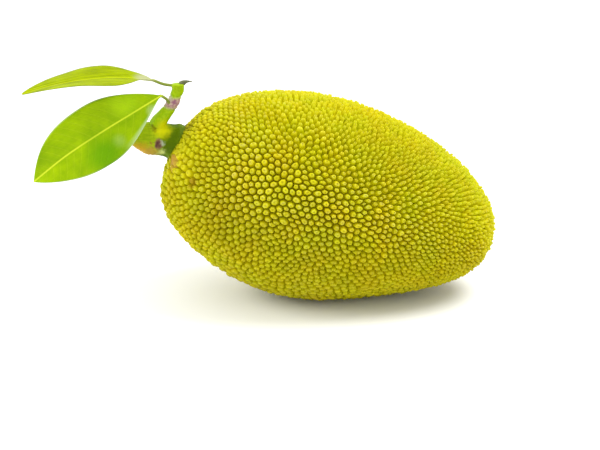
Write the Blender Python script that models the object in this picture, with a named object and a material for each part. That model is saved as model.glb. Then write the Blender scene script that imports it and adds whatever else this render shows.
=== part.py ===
"""A whole jackfruit with its stalk, a leafy shoot, a bud and two leaves.

It lies on its side on a small flat spot. The frame's origin is the centre of that spot, +X runs along the
fruit away from the stalk, and +Z is up. All sizes are in metres.
"""

import math

import bmesh
import bpy
from mathutils import Vector

# The fruit: an egg-like body, fatter at the stalk end, whose long axis dips away from the stalk
FRUIT_HALF_LENGTH = 0.195
FRUIT_RADIUS = 0.115
FRUIT_PITCH = math.radians(15.0)
FRUIT_CENTRE = Vector((0.002, 0.0, 0.1098))
LENGTH_EXPONENT = 1.95      # how blunt the two ends are
GIRTH_EXPONENT = 2.29       # how full the sides are
FAR_END_SLIMMING = 0.115    # share of the radius lost at the far end and gained at the stalk end
BOTH_ENDS_SLIMMING = 0.023
BACK_BOW = 0.003            # how far the middle of the axis bows upwards
FRUIT_RINGS = 30
FRUIT_SIDES = 44

# The underside is tucked level, as on a fruit that has lain on the ground
TUCK_SLOPE = 0.14
TUCK_REACH = 0.130
TUCK_DEPTH = 0.110

# Under the stalk the end of the fruit swells into a rounded cheek
CHEEK_DEPTH = 0.0042
CHEEK_HEIGHT = -0.008       # measured from the fruit's centre
CHEEK_SPREAD = 0.036
CHEEK_REACH = 0.18

# Space between pieces that touch
GAP = 0.0003

# Each stem is a list of (x, y, z, radius) that a smooth tube follows
STALK_ROUTE = (
    (-0.1683, 0.0, 0.1808, 0.0215),
    (-0.1748, 0.0, 0.1836, 0.0205),
    (-0.1818, 0.0, 0.1858, 0.0186),
    (-0.1908, 0.0, 0.1874, 0.0178),
    (-0.2007, 0.0, 0.1894, 0.0172),
    (-0.2118, 0.0, 0.1919, 0.0152),
    (-0.2223, 0.0, 0.1958, 0.0118),
    (-0.2283, 0.0, 0.1984, 0.0088),
)
STALK_SIDES = 24

SHOOT_ROUTE = (
    (-0.1958, 0.0, 0.1926, 0.0118),
    (-0.1918, -0.001, 0.2051, 0.0096),
    (-0.1870, -0.002, 0.2129, 0.0080),
    (-0.1809, -0.003, 0.2205, 0.0069),
    (-0.1752, -0.004, 0.2293, 0.0067),
    (-0.1716, -0.005, 0.2375, 0.0064),
    (-0.1688, -0.005, 0.2448, 0.0067),
    (-0.1688, -0.005, 0.2508, 0.0076),
)
SHOOT_SIDES = 16

BUD_ROUTE = (
    (-0.1655, -0.005, 0.2508, 0.0034),
    (-0.1626, -0.005, 0.2527, 0.0029),
    (-0.1594, -0.005, 0.2539, 0.0020),
    (-0.1552, -0.005, 0.2546, 0.0011),
    (-0.1503, -0.005, 0.2552, 0.0004),
)
BUD_SIDES = 12

# Leaves: the petiole's route from the shoot, then the midrib's route from the blade's base to its tip
PETIOLE_RADIUS = 0.0016
MIDRIB_BASE_RADIUS = 0.0015
MIDRIB_TIP_RADIUS = 0.0003
LEAF_HALF_THICKNESS = 0.0004
LEAF_WIDEST_AT = 0.54       # share of the blade's length, from its base
LEAF_COLUMNS = 8            # strips across the blade on each face
PETIOLE_STATIONS = 5
BLADE_STATIONS = 22

LOWER_LEAF_PETIOLE = ((-0.1768, -0.006, 0.2308), (-0.1805, -0.014, 0.2371), (-0.1868, -0.020, 0.2418))
LOWER_LEAF_MIDRIB = (
    (-0.1868, -0.020, 0.2418),
    (-0.2197, -0.028, 0.2236),
    (-0.2524, -0.033, 0.2047),
    (-0.2923, -0.036, 0.1791),
    (-0.3293, -0.037, 0.1501),
)
LOWER_LEAF_ACROSS = Vector((0.53, -0.20, -0.85))
LOWER_LEAF_CUP = 0.10
LOWER_LEAF_HALF_WIDTH = 0.035
LOWER_LEAF_BASE_SLIMNESS = 0.85     # over 1, the blade narrows towards its stalk in a long wedge

UPPER_LEAF_PETIOLE = ((-0.1725, -0.006, 0.2499), (-0.1845, -0.008, 0.2531), (-0.1956, -0.010, 0.2582))
UPPER_LEAF_MIDRIB = (
    (-0.1956, -0.010, 0.2582),
    (-0.2135, -0.016, 0.2624),
    (-0.2304, -0.022, 0.2646),
    (-0.2504, -0.028, 0.2654),
    (-0.2766, -0.036, 0.2648),
    (-0.3052, -0.043, 0.2610),
    (-0.3340, -0.048, 0.2545),
)
UPPER_LEAF_ACROSS = Vector((-0.15, -0.98, -0.13))
UPPER_LEAF_CUP = 0.10
UPPER_LEAF_HALF_WIDTH = 0.030
UPPER_LEAF_BASE_SLIMNESS = 1.10


def start_empty():
    for old in list(bpy.data.objects):
        bpy.data.objects.remove(old, do_unlink=True)


def material(name, colour, roughness):
    made = bpy.data.materials.new(name)
    made.use_nodes = True
    shader = made.node_tree.nodes["Principled BSDF"]
    shader.inputs["Base Color"].default_value = (*colour, 1.0)
    shader.inputs["Roughness"].default_value = roughness
    shader.inputs["Metallic"].default_value = 0.0
    return made


def place(name, mesh, finish, smooth_angle=40.0):
    mesh.shade_smooth()
    mesh.set_sharp_from_angle(angle=math.radians(smooth_angle))
    made = bpy.data.objects.new(name, mesh)
    bpy.context.scene.collection.objects.link(made)
    if finish is not None:
        mesh.materials.append(finish)
    return made


def cut_by(target, cutter):
    cutter.hide_render = True
    cutter.display_type = "WIRE"
    cut = target.modifiers.new("cut_by_" + cutter.name, "BOOLEAN")
    cut.operation = "DIFFERENCE"
    cut.solver = "EXACT"
    cut.object = cutter


def smooth_route(points, steps):
    """A Catmull-Rom curve through the points, read at evenly spaced parameters."""
    spans = len(points) - 1
    ends = [2 * points[0] - points[1], *points, 2 * points[-1] - points[-2]]
    route = []
    for step in range(steps + 1):
        place_on = step / steps * spans
        span = min(int(place_on), spans - 1)
        t = place_on - span
        before, start, end, after = ends[span:span + 4]
        bend = 2 * before - 5 * start + 4 * end - after
        twist = 3 * start - before - 3 * end + after
        route.append((2 * start + (end - before) * t + bend * t * t + twist * t * t * t) / 2)
    return route


def loft(name, rings, finish):
    """A closed body from equal rings of points, with a fan cap on each end."""
    shape = bmesh.new()
    loops = [[shape.verts.new(point) for point in ring] for ring in rings]
    count = len(loops[0])
    for near, far in zip(loops, loops[1:]):
        for side in range(count):
            after = (side + 1) % count
            shape.faces.new((near[side], near[after], far[after], far[side]))
    for loop in (loops[0], loops[-1]):
        middle = shape.verts.new(sum((vert.co for vert in loop), Vector()) / count)
        for side in range(count):
            shape.faces.new((loop[side], loop[(side + 1) % count], middle))
    bmesh.ops.recalc_face_normals(shape, faces=shape.faces)
    mesh = bpy.data.meshes.new(name)
    shape.to_mesh(mesh)
    shape.free()
    return place(name, mesh, finish)


def stem(name, route, sides, finish, steps=16, swell=0.0):
    """A tube with the route's own radii, all made larger by swell, which also lengthens its two ends."""
    centres = smooth_route([Vector(point[:3]) for point in route], steps)
    radii = [radius.x for radius in smooth_route([Vector((point[3], 0, 0)) for point in route], steps)]
    first_way = (centres[1] - centres[0]).normalized()
    last_way = (centres[-1] - centres[-2]).normalized()
    centres[0] -= first_way * swell
    centres[-1] += last_way * swell
    side_way = Vector((0, 1, 0))
    rings = []
    for index, centre in enumerate(centres):
        ahead = centres[min(index + 1, steps)] - centres[max(index - 1, 0)]
        up_way = ahead.cross(side_way).normalized()
        level_way = up_way.cross(ahead).normalized()
        reach = radii[index] + swell
        turns = [2 * math.pi * side / sides for side in range(sides)]
        rings.append([centre + reach * (math.cos(t) * up_way + math.sin(t) * level_way) for t in turns])
    return loft(name, rings, finish)


def signed_power(value, exponent):
    return math.copysign(abs(value) ** exponent, value)


def smooth_step(value):
    held = min(max(value, 0.0), 1.0)
    return held * held * (3 - 2 * held)


def fruit_point(along, around):
    """A point of the skin: along runs 0 to pi from stalk end to far end, around is the angle about the axis."""
    on_axis = -FRUIT_HALF_LENGTH * signed_power(math.cos(along), 2 / LENGTH_EXPONENT)
    share = on_axis / FRUIT_HALF_LENGTH
    fullness = 1 - FAR_END_SLIMMING * share - BOTH_ENDS_SLIMMING * share * share
    radius = FRUIT_RADIUS * fullness * math.sin(along) ** (2 / GIRTH_EXPONENT)
    side = radius * math.sin(around)
    height = radius * math.cos(around) + BACK_BOW * (1 - share * share)
    x = on_axis * math.cos(FRUIT_PITCH) + height * math.sin(FRUIT_PITCH)
    z = height * math.cos(FRUIT_PITCH) - on_axis * math.sin(FRUIT_PITCH)
    lowness = smooth_step(-z / TUCK_DEPTH)
    z += TUCK_SLOPE * lowness * x * math.exp(-((x / TUCK_REACH) ** 2))
    endness = min(max(-x / CHEEK_REACH, 0.0), 1.0)
    x -= CHEEK_DEPTH * endness * endness * math.exp(-(((z - CHEEK_HEIGHT) / CHEEK_SPREAD) ** 2))
    return FRUIT_CENTRE + Vector((x, side, z))


def make_fruit(finish):
    shape = bmesh.new()
    stalk_pole = shape.verts.new(fruit_point(0, 0))
    far_pole = shape.verts.new(fruit_point(math.pi, 0))
    rings = []
    for ring in range(1, FRUIT_RINGS):
        along = math.pi * ring / FRUIT_RINGS
        turns = [2 * math.pi * side / FRUIT_SIDES for side in range(FRUIT_SIDES)]
        rings.append([shape.verts.new(fruit_point(along, around)) for around in turns])
    for side in range(FRUIT_SIDES):
        after = (side + 1) % FRUIT_SIDES
        shape.faces.new((stalk_pole, rings[0][after], rings[0][side]))
        shape.faces.new((far_pole, rings[-1][side], rings[-1][after]))
        for near, far in zip(rings, rings[1:]):
            shape.faces.new((near[side], near[after], far[after], far[side]))
    everything = shape.verts[:] + shape.edges[:] + shape.faces[:]
    cut = bmesh.ops.bisect_plane(
        shape, geom=everything, plane_co=(0, 0, 0), plane_no=(0, 0, -1), clear_outer=True)
    rim = [item for item in cut["geom_cut"] if isinstance(item, bmesh.types.BMEdge)]
    bmesh.ops.contextual_create(shape, geom=rim)
    bmesh.ops.recalc_face_normals(shape, faces=shape.faces)
    mesh = bpy.data.meshes.new("fruit")
    shape.to_mesh(mesh)
    shape.free()
    return place("fruit", mesh, finish)


def blade_width(share, base_slimness):
    """The blade's width at a share of its length, as a share of its widest: a long oval with a short point."""
    if share <= LEAF_WIDEST_AT:
        rise = share / LEAF_WIDEST_AT
        return math.sin(math.pi / 2 * rise) ** base_slimness
    fall = (share - LEAF_WIDEST_AT) / (1 - LEAF_WIDEST_AT)
    return math.cos(math.pi / 2 * fall ** 1.25) ** 0.9


def leaf_ring(centre, ahead, across, half_width, rib, cup):
    """One closed cross-section: over the top from side to side, then back underneath."""
    level = (across - across.project(ahead)).normalized()
    up_way = ahead.cross(level).normalized()
    shares = [2 * column / LEAF_COLUMNS - 1 for column in range(LEAF_COLUMNS + 1)]
    top = []
    under = []
    for share in shares:
        spread = max(half_width, rib) * share
        lift = cup * abs(spread)
        rib_share = math.sqrt(max(0.0, 1 - (spread / rib) ** 2))
        half = max(rib * rib_share, LEAF_HALF_THICKNESS)
        top.append(centre + level * spread + up_way * (lift + half))
        under.append(centre + level * spread + up_way * (lift - half))
    return top + under[::-1]


def make_leaf(name, petiole, midrib, across, cup, widest, base_slimness, finish):
    stalk_part = smooth_route([Vector(point) for point in petiole], PETIOLE_STATIONS)
    blade_part = smooth_route([Vector(point) for point in midrib], BLADE_STATIONS)
    route = stalk_part + blade_part[1:]
    rings = []
    for index, centre in enumerate(route):
        ahead = (route[min(index + 1, len(route) - 1)] - route[max(index - 1, 0)]).normalized()
        share = max(0.0, (index - PETIOLE_STATIONS) / BLADE_STATIONS)
        rib = MIDRIB_BASE_RADIUS + (MIDRIB_TIP_RADIUS - MIDRIB_BASE_RADIUS) * share
        if index < PETIOLE_STATIONS:
            rib = PETIOLE_RADIUS
        half_width = widest * blade_width(share, base_slimness) if index > PETIOLE_STATIONS else 0.0
        rings.append(leaf_ring(centre, ahead, across, half_width, max(rib, LEAF_HALF_THICKNESS), cup))
    return loft(name, rings, finish)


start_empty()

skin = material("fruit_skin", (0.42, 0.47, 0.05), 0.55)
green_bark = material("stalk_bark", (0.16, 0.27, 0.03), 0.5)
young_bark = material("shoot_bark", (0.33, 0.49, 0.02), 0.45)
bud_scale = material("bud_scale", (0.07, 0.09, 0.04), 0.5)
leaf_face = material("leaf", (0.25, 0.5, 0.02), 0.35)

fruit = make_fruit(skin)
stalk = stem("stalk", STALK_ROUTE, STALK_SIDES, green_bark)
shoot = stem("shoot", SHOOT_ROUTE, SHOOT_SIDES, young_bark)
bud = stem("terminal_bud", BUD_ROUTE, BUD_SIDES, bud_scale, steps=10)
lower_leaf = make_leaf(
    "lower_leaf", LOWER_LEAF_PETIOLE, LOWER_LEAF_MIDRIB, LOWER_LEAF_ACROSS, LOWER_LEAF_CUP,
    LOWER_LEAF_HALF_WIDTH, LOWER_LEAF_BASE_SLIMNESS, leaf_face)
upper_leaf = make_leaf(
    "upper_leaf", UPPER_LEAF_PETIOLE, UPPER_LEAF_MIDRIB, UPPER_LEAF_ACROSS, UPPER_LEAF_CUP,
    UPPER_LEAF_HALF_WIDTH, UPPER_LEAF_BASE_SLIMNESS, leaf_face)

stalk_space = stem("stalk_space", STALK_ROUTE, STALK_SIDES, None, swell=GAP)
shoot_space = stem("shoot_space", SHOOT_ROUTE, SHOOT_SIDES, None, swell=GAP)
cut_by(fruit, stalk_space)
cut_by(shoot, stalk_space)
for grown_on_shoot in (bud, lower_leaf, upper_leaf):
    cut_by(grown_on_shoot, shoot_space)
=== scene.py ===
"""Looks of a whole jackfruit with its stalk, shoot, bud and two leaves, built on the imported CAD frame."""

import math

import bmesh
import bpy
import numpy as np
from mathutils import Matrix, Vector, kdtree, noise


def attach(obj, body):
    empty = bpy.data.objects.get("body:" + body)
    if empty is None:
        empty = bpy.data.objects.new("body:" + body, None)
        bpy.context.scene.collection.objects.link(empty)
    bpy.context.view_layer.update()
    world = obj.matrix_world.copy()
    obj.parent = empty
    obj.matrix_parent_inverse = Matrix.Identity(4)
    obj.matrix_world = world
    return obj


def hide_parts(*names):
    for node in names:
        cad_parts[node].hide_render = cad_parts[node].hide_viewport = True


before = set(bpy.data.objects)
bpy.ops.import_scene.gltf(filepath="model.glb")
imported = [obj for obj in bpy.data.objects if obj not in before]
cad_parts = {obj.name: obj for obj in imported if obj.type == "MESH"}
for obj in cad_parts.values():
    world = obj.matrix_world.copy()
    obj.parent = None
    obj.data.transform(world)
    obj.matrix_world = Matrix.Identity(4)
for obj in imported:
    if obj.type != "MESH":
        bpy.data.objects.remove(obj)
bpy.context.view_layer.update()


# ---------------------------------------------------------------------------------------- Fruit skin
# The thick rind of the fruit. Thousands of small flowers have grown together into one body, and each has
# left one blunt wart with the dry dot of its style on top. The warts are lower and lean over at the stalk.

HALF_LENGTH = 0.195
RADIUS = 0.115
PITCH = math.radians(15.0)
CENTRE = np.array((0.002, 0.0, 0.1098))
LENGTH_EXPONENT = 1.95
GIRTH_EXPONENT = 2.29
FAR_END_SLIMMING = 0.115
BOTH_ENDS_SLIMMING = 0.023
BACK_BOW = 0.003
TUCK_SLOPE = 0.14
TUCK_REACH = 0.130
TUCK_DEPTH = 0.110
CHEEK_DEPTH = 0.0042
CHEEK_HEIGHT = -0.008
CHEEK_SPREAD = 0.036
CHEEK_REACH = 0.18

WART_COUNT = 5350
WART_HEIGHT = 0.0070
WART_SPACINGS = (           # the distance to the next, from the stalk end at -1 to the far end at 1
    (-1.0, 0.0068), (-0.45, 0.0080), (0.1, 0.0076), (0.5, 0.0068), (1.0, 0.0062))
CLOSER_ON_TOP = 0.17        # shares by which the warts stand closer or wider apart than that
WIDER_BELOW = 0.22
CLOSER_BY_FOOT = 0.45
NARROWER_BY_FOOT = 0.78     # share by which a wart at the foot is less wide than it is long
FOOT_REACH = 0.018          # how far out from the stalk's foot that goes
WART_SEED = 11
TRIES_PER_WART = 5
SPREADING_ROUNDS = 60
NEIGHBOURS = 10
ROOM_WANTED = 1.22          # a round of spreading pushes apart what is nearer than this share of its room
PUSH_SHARE = 0.13
WART_LEAN = 0.06            # how far a wart leans off upright by chance, as a slope
FOOT_LEAN = 0.9             # how far the warts by the stalk lean towards it, and how far out they still do
FOOT_LEAN_REACH = 0.050
LIT_SIDE_GROWTH = 0.42         # share by which the warts of the lit side are taller
STALK_FOOT = np.array((-0.1700, 0.0, 0.1815))
STALK_FOOT_RADIUS = 0.0215
MOAT_DEPTH = 0.0026         # a shallow ditch in the skin round the stalk's foot
MOAT_RADIUS = 0.031
MOAT_WIDTH = 0.010
CALLUS = np.array((-0.1785, -0.0320, 0.1700))      # a worn, corky patch on the skin under the stalk
CALLUS_RADIUS = 0.0100
LIT_SIDE_WAY = np.array((0.42, 0.0, 0.94))     # the lit side, mostly the top, with taller warts and grooves painted paler as painted light


def fruit_skin(ways, sink=0.0):
    """Where the skin lies in each direction from the fruit's middle, sink metres under the warts' tips."""
    along, across, up = ways.T
    spread = np.maximum(np.hypot(across, up), 1e-9)
    on_axis = (HALF_LENGTH - sink) * np.sign(along) * np.abs(along) ** (2 / LENGTH_EXPONENT)
    share = on_axis / (HALF_LENGTH - sink)
    fullness = 1 - FAR_END_SLIMMING * share - BOTH_ENDS_SLIMMING * share ** 2
    reach = (RADIUS - sink) * fullness * spread ** (2 / GIRTH_EXPONENT - 1)
    height = reach * up + BACK_BOW * (1 - share ** 2)
    x = on_axis * math.cos(PITCH) + height * math.sin(PITCH)
    z = height * math.cos(PITCH) - on_axis * math.sin(PITCH)
    low = np.clip(-z / TUCK_DEPTH, 0, 1)
    z = z + TUCK_SLOPE * low * low * (3 - 2 * low) * x * np.exp(-(x / TUCK_REACH) ** 2)
    endness = np.clip(-x / CHEEK_REACH, 0, 1)
    x = x - CHEEK_DEPTH * endness ** 2 * np.exp(-((z - CHEEK_HEIGHT) / CHEEK_SPREAD) ** 2)
    return CENTRE + np.stack((x, reach * across, z), axis=1)


def along_fruit(vectors):
    """Turns vectors of the frame to the fruit's own axes, with its length scaled to that of its girth."""
    x, y, z = vectors.T
    length_wise = x * math.cos(PITCH) - z * math.sin(PITCH)
    height_wise = x * math.sin(PITCH) + z * math.cos(PITCH)
    return np.stack((length_wise / HALF_LENGTH, y / RADIUS, height_wise / RADIUS), axis=1)


def unit(vectors):
    return vectors / np.maximum(np.linalg.norm(vectors, axis=1, keepdims=True), 1e-12)


def smooth_step(low, high, value):
    held = np.clip((value - low) / (high - low), 0, 1)
    return held * held * (3 - 2 * held)


def wart_room(places, ways):
    """The distance from each wart to the next, and its width as a share of its length towards the stalk."""
    beyond_foot = np.clip(np.linalg.norm(places - STALK_FOOT, axis=1) - STALK_FOOT_RADIUS, 0, 1)
    by_foot = np.exp(-(beyond_foot / FOOT_REACH) ** 2)
    on_top = smooth_step(0.35, 0.85, ways[:, 2])
    below = smooth_step(0.5, 0.85, -ways[:, 2])
    room = np.interp(ways[:, 0], *zip(*WART_SPACINGS)) * (1 - CLOSER_ON_TOP * on_top + WIDER_BELOW * below)
    return room * (1 - CLOSER_BY_FOOT * by_foot), 1 - NARROWER_BY_FOOT * by_foot


def spread_warts():
    """Directions of the warts: scattered by chance, then pushed apart until each has its own room."""
    chance = np.random.default_rng(WART_SEED)
    tries = unit(chance.normal(size=(WART_COUNT * TRIES_PER_WART, 3)))
    room, narrowing = wart_room(fruit_skin(tries, WART_HEIGHT), tries)
    stretch = np.hypot(tries[:, 0] / HALF_LENGTH, np.hypot(tries[:, 1], tries[:, 2]) / RADIUS)
    weight = stretch * narrowing / room ** 2
    ways = tries[chance.random(len(tries)) < weight / weight.max()][:WART_COUNT]
    for _ in range(SPREADING_ROUNDS):
        places = fruit_skin(ways, WART_HEIGHT)
        room, narrowing = wart_room(places, ways)
        crowd = kdtree.KDTree(len(places))
        for index, place in enumerate(places):
            crowd.insert(place, index)
        crowd.balance()
        near = np.array([
            [found[1] for found in crowd.find_n(place, NEIGHBOURS)] for place in places])
        apart = places[:, None, :] - places[near]
        to_foot = unit(places - STALK_FOOT)[:, None, :]
        lengthwise = (apart * to_foot).sum(axis=2, keepdims=True)
        apart = apart + (narrowing[:, None, None] - 1) * lengthwise * to_foot
        distance = np.maximum(np.linalg.norm(apart, axis=2), 1e-6)
        wanted = ROOM_WANTED * (room[:, None] + room[near]) / 2
        push = np.clip(wanted - distance, 0, None) / distance
        step = (apart * push[:, :, None]).sum(axis=1) * PUSH_SHARE
        ways = unit(ways + along_fruit(step))
    return ways


def store(mesh, name, values, kind="FLOAT"):
    """Keeps a number or a vector for each point of a mesh, to be read by its node tree or its finish."""
    field = "vector" if kind == "FLOAT_VECTOR" else "value"
    mesh.attributes.new(name, kind, "POINT").data.foreach_set(field, np.asarray(values, np.float32).ravel())


wart_ways = spread_warts()
tips = fruit_skin(wart_ways)
from_foot = np.linalg.norm(tips - STALK_FOOT, axis=1)
callus = np.exp(-(np.linalg.norm(tips - CALLUS, axis=1) / CALLUS_RADIUS) ** 4)
growth = 0.10 + 0.90 * smooth_step(STALK_FOOT_RADIUS - 0.001, STALK_FOOT_RADIUS + 0.020, from_foot)
to_foot = (STALK_FOOT - tips) / from_foot[:, None]
lean = to_foot * FOOT_LEAN * np.exp(-from_foot / FOOT_LEAN_REACH)[:, None]
lean = lean + WART_LEAN * np.random.default_rng(WART_SEED + 1).normal(size=lean.shape)
lit_side = smooth_step(0.1, 0.85, wart_ways @ LIT_SIDE_WAY)
under = smooth_step(-0.25, 0.45, -wart_ways[:, 2])
smooth_end = np.maximum(np.maximum(lit_side, under), smooth_step(0.55, 0.95, -wart_ways[:, 0]))
growth = growth * (1 - 0.85 * callus) * (1 + LIT_SIDE_GROWTH * lit_side)

net = bmesh.new()
for way in wart_ways:
    net.verts.new(way)
bmesh.ops.convex_hull(net, input=net.verts)
net.verts.ensure_lookup_table()
moat = MOAT_DEPTH * np.exp(-((from_foot - MOAT_RADIUS) / MOAT_WIDTH) ** 2)
for vert, place in zip(net.verts, fruit_skin(wart_ways, WART_HEIGHT * growth + moat)):
    vert.co = place
net_mesh = bpy.data.meshes.new("fruit_skin")
net.to_mesh(net_mesh)
net.free()
for kept_name, kept in (
        ("growth", growth), ("callus", callus), ("lit_side", lit_side),
        ("smooth_end", smooth_end), ("under", under)):
    store(net_mesh, kept_name, kept)
store(net_mesh, "lean", lean, "FLOAT_VECTOR")
fruit = bpy.data.objects.new("fruit_skin", net_mesh)
bpy.context.scene.collection.objects.link(fruit)


def linear(colour):
    """An sRGB colour such as '#a0b010' as linear red, green, blue and alpha."""
    shares = [int(colour[at:at + 2], 16) / 255 for at in (1, 3, 5)]
    return [s / 12.92 if s <= 0.04045 else ((s + 0.055) / 1.055) ** 2.4 for s in shares] + [1.0]


def feed(tree, node, inputs):
    """Gives each of these inputs a plain value, or the output socket that feeds it."""
    for name, value in inputs.items():
        if isinstance(value, bpy.types.NodeSocket):
            tree.links.new(value, node.inputs[name])
        else:
            node.inputs[name].default_value = value


def add_node(tree, kind, inputs=None, stops=(), **settings):
    """Adds a node with its inputs and settings.

    A colour ramp is given its stops as well, from the lowest up: each is a place from 0 to 1 and a colour.
    """
    node = tree.nodes.new(kind)
    for name, value in settings.items():
        setattr(node, name, value)
    feed(tree, node, inputs or {})
    if stops:
        ramp = node.color_ramp.elements
        for stop, (at, colour) in zip(ramp, (stops[0], stops[-1])):
            stop.position = at
            stop.color = linear(colour)
        for at, colour in stops[1:-1]:
            ramp.new(at).color = linear(colour)
    return node


def new_finish(name):
    """A new material with its node tree, its Principled BSDF and the place on the piece as a socket.

    The place is in metres, so a pattern's Scale is one over its size: 500 makes a pattern of 2 mm.
    """
    made = bpy.data.materials.new(name)
    made.use_nodes = True
    tree = made.node_tree
    place = add_node(tree, "ShaderNodeTexCoord").outputs["Object"]
    return made, tree, tree.nodes["Principled BSDF"], place


def add_spots(tree, place, colour, spots):
    """Lays round soft-edged spots over a colour: each has a centre, two radii, a colour and a share."""
    for centre, inner, outer, spot_colour, share in spots:
        away = add_node(tree, "ShaderNodeVectorMath", {0: place, 1: centre}, operation="DISTANCE")
        cover = add_node(tree, "ShaderNodeMapRange", {
            "Value": away.outputs["Value"], "From Min": inner, "From Max": outer,
            "To Min": share, "To Max": 0.0}, interpolation_type="SMOOTHSTEP")
        colour = add_node(tree, "ShaderNodeMix", {
            "Factor": cover.outputs["Result"], "A": colour, "B": linear(spot_colour)},
            data_type="RGBA").outputs["Result"]
    return colour


# Fresh jackfruit rind: a firm, faintly waxy skin. Olive grooves, darker partly by their own colour and partly
# as painted shade, yellow-green walls, and paler crowns, partly worn and partly painted highlight, with a dry
# brown dot give the eye a beaded texture rather than a flat green.
rind, tree, shader, place = new_finish("jackfruit_rind")
level, tone, lit_side_share, smooth_ended, shaded_side, full_grown, corky = (
    add_node(tree, "ShaderNodeAttribute", attribute_name=kept_name).outputs["Fac"]
    for kept_name in ("level", "tone", "lit_side", "smooth_end", "under", "growth", "callus"))
tip = add_node(tree, "ShaderNodeAttribute", attribute_name="tip").outputs["Vector"]
# Painted light: on the lit side the grooves take the paler colours of the walls and crowns.
below_crown = add_node(tree, "ShaderNodeMapRange", {
    "Value": level, "From Min": 0.0, "From Max": 0.8, "To Min": 0.75, "To Max": 0.0}).outputs["Result"]
level_shown = add_node(tree, "ShaderNodeMath", {0: lit_side_share, 1: below_crown, 2: level}, operation="MULTIPLY_ADD")
by_level = add_node(tree, "ShaderNodeValToRGB", {"Fac": level_shown.outputs[0]}, stops=(
    (0.0, "#6c6400"), (0.16, "#948d02"), (0.45, "#b5ae04"), (0.74, "#bbb606"), (0.87, "#c9c426"),
    (1.0, "#b8b314")))
# Pale flecks 3 mm wide on the crowns, partly wear and partly painted highlight, except on the lit side, the
# underside and the stalk's end
fleck_noise = add_node(tree, "ShaderNodeTexNoise", {"Vector": place, "Scale": 330.0, "Detail": 2.0})
fleck_share = add_node(tree, "ShaderNodeMapRange", {
    "Value": fleck_noise.outputs["Fac"], "From Min": 0.46, "From Max": 0.66, "To Min": 0.0, "To Max": 0.55})
on_crown = add_node(tree, "ShaderNodeMapRange", {
    "Value": level, "From Min": 0.62, "From Max": 0.88, "To Min": 0.0, "To Max": 1.0})
flecks_kept = add_node(tree, "ShaderNodeMath", {0: smooth_ended, 1: -0.75, 2: 1.0}, operation="MULTIPLY_ADD")
crown_flecks = add_node(tree, "ShaderNodeMath", {
    0: fleck_share.outputs["Result"], 1: on_crown.outputs["Result"]}, operation="MULTIPLY")
seen_flecks = add_node(tree, "ShaderNodeMath", {
    0: crown_flecks.outputs[0], 1: flecks_kept.outputs[0]}, operation="MULTIPLY")
worn_and_highlit_crowns = add_node(tree, "ShaderNodeMix", {
    "Factor": seen_flecks.outputs[0], "A": by_level.outputs["Color"], "B": linear("#cdc870")},
    data_type="RGBA")
# Yellower patches 90 mm wide, and each wart a little lighter or darker than the next
patches = add_node(tree, "ShaderNodeTexNoise", {"Vector": place, "Scale": 11.0, "Detail": 3.0})
patch_share = add_node(tree, "ShaderNodeMapRange", {
    "Value": patches.outputs["Fac"], "From Min": 0.38, "From Max": 0.68, "To Min": 0.0, "To Max": 0.55})
yellowed = add_node(tree, "ShaderNodeMix", {
    "Factor": patch_share.outputs["Result"], "A": worn_and_highlit_crowns.outputs["Result"], "B": linear("#c2b515")},
    data_type="RGBA", blend_type="SOFT_LIGHT")
tone_share = add_node(tree, "ShaderNodeMapRange", {
    "Value": tone, "From Min": 0.0, "From Max": 1.0, "To Min": 0.90, "To Max": 1.10})
# Painted shade: the colour is up to 14 % darker on the underside.
under_shaded_tone = add_node(tree, "ShaderNodeMath", {
    0: shaded_side, 1: -0.14, 2: tone_share.outputs["Result"]}, operation="MULTIPLY_ADD")
# Painted light: the colour is up to 8 % brighter on the lit side.
lit_side_tone = add_node(tree, "ShaderNodeMath", {
    0: lit_side_share, 1: 0.08, 2: under_shaded_tone.outputs[0]}, operation="MULTIPLY_ADD")
toned = add_node(tree, "ShaderNodeVectorMath", {
    0: yellowed.outputs["Result"], "Scale": lit_side_tone.outputs[0]}, operation="SCALE")
# Patches 30 mm wide are a little more orange or more green, and the lit side is painted greener as painted
# light.
ripening = add_node(tree, "ShaderNodeTexNoise", {
    "Vector": place, "Scale": 34.0, "Detail": 3.0, "Roughness": 0.65})
unripe = add_node(tree, "ShaderNodeMapRange", {
    "Value": ripening.outputs["Fac"], "From Min": 0.34, "From Max": 0.64, "To Min": 0.10, "To Max": 0.82})
greener = add_node(tree, "ShaderNodeMath", {
    0: lit_side_share, 1: 0.10, 2: unripe.outputs["Result"]}, operation="MULTIPLY_ADD")
tint = add_node(tree, "ShaderNodeMix", {
    "Factor": greener.outputs[0], "A": (1.06, 0.955, 1.0, 1.0), "B": (0.945, 1.04, 0.9, 1.0)},
    data_type="RGBA")
tinted = add_node(tree, "ShaderNodeVectorMath", {
    0: toned.outputs["Vector"], 1: tint.outputs["Result"]}, operation="MULTIPLY")
# The dry dot on each tip is drawn 2 to 4 mm wide, larger than the real one, so that it shows.
from_tip = add_node(tree, "ShaderNodeVectorMath", {0: place, 1: tip}, operation="DISTANCE")
dot_size = add_node(tree, "ShaderNodeMapRange", {
    "Value": tone, "From Min": 0.80, "From Max": 1.0, "To Min": 0.0010, "To Max": 0.0019})
dot = add_node(tree, "ShaderNodeMapRange", {
    "Value": from_tip.outputs["Value"], "From Min": 0.0003, "From Max": dot_size.outputs["Result"],
    "To Min": 0.46, "To Max": 0.0}, interpolation_type="SMOOTHSTEP")
dot_share = add_node(tree, "ShaderNodeMath", {
    0: dot.outputs["Result"], 1: full_grown}, operation="MULTIPLY", use_clamp=True)
dotted = add_node(tree, "ShaderNodeMix", {
    "Factor": dot_share.outputs[0], "A": tinted.outputs["Vector"], "B": linear("#6c5a20")},
    data_type="RGBA")
worn = add_node(tree, "ShaderNodeMix", {
    "Factor": corky, "A": dotted.outputs["Result"], "B": linear("#b8903a")}, data_type="RGBA")
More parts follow.
